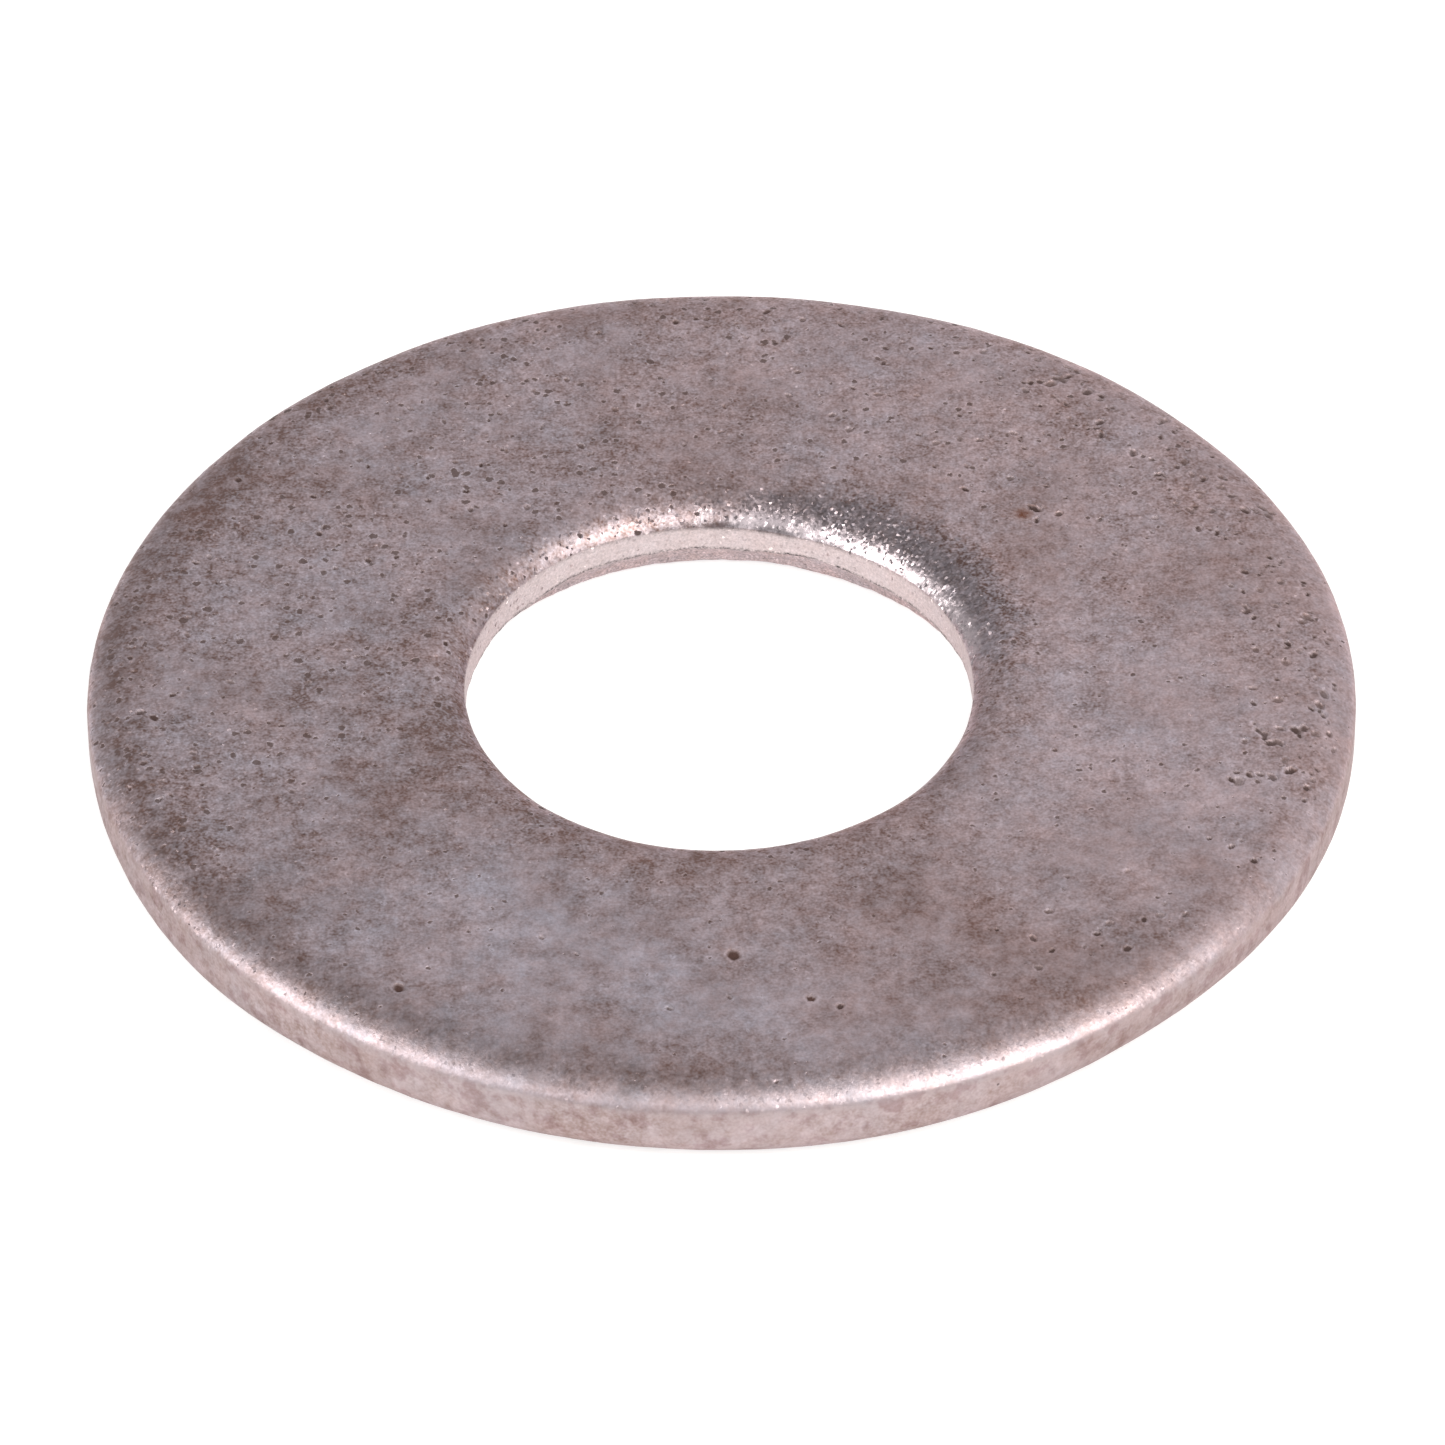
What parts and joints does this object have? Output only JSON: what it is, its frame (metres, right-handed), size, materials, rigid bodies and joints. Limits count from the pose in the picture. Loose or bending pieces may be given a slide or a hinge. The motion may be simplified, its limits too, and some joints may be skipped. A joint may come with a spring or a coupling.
{
  "type": "flat washer",
  "caption": "Plain round wide-pattern flat washer with rolled upper edges, to spread the load of a 7/16 in bolt head or nut.",
  "frame": {"origin": "centre of the lower bearing face, on the axis of the hole", "axes": "+Z along the axis of the hole, out of the upper face, which is the one with the rolled edges; +X and +Y across the face"},
  "size_m": [0.0318, 0.0318, 0.0021],
  "materials": {
    "steel": "plain carbon steel, tumbled, lightly pitted, mauve-grey with a dull satin sheen"
  },
  "bodies": {
    "root": {"washer": "steel"}
  },
  "joints": []
}
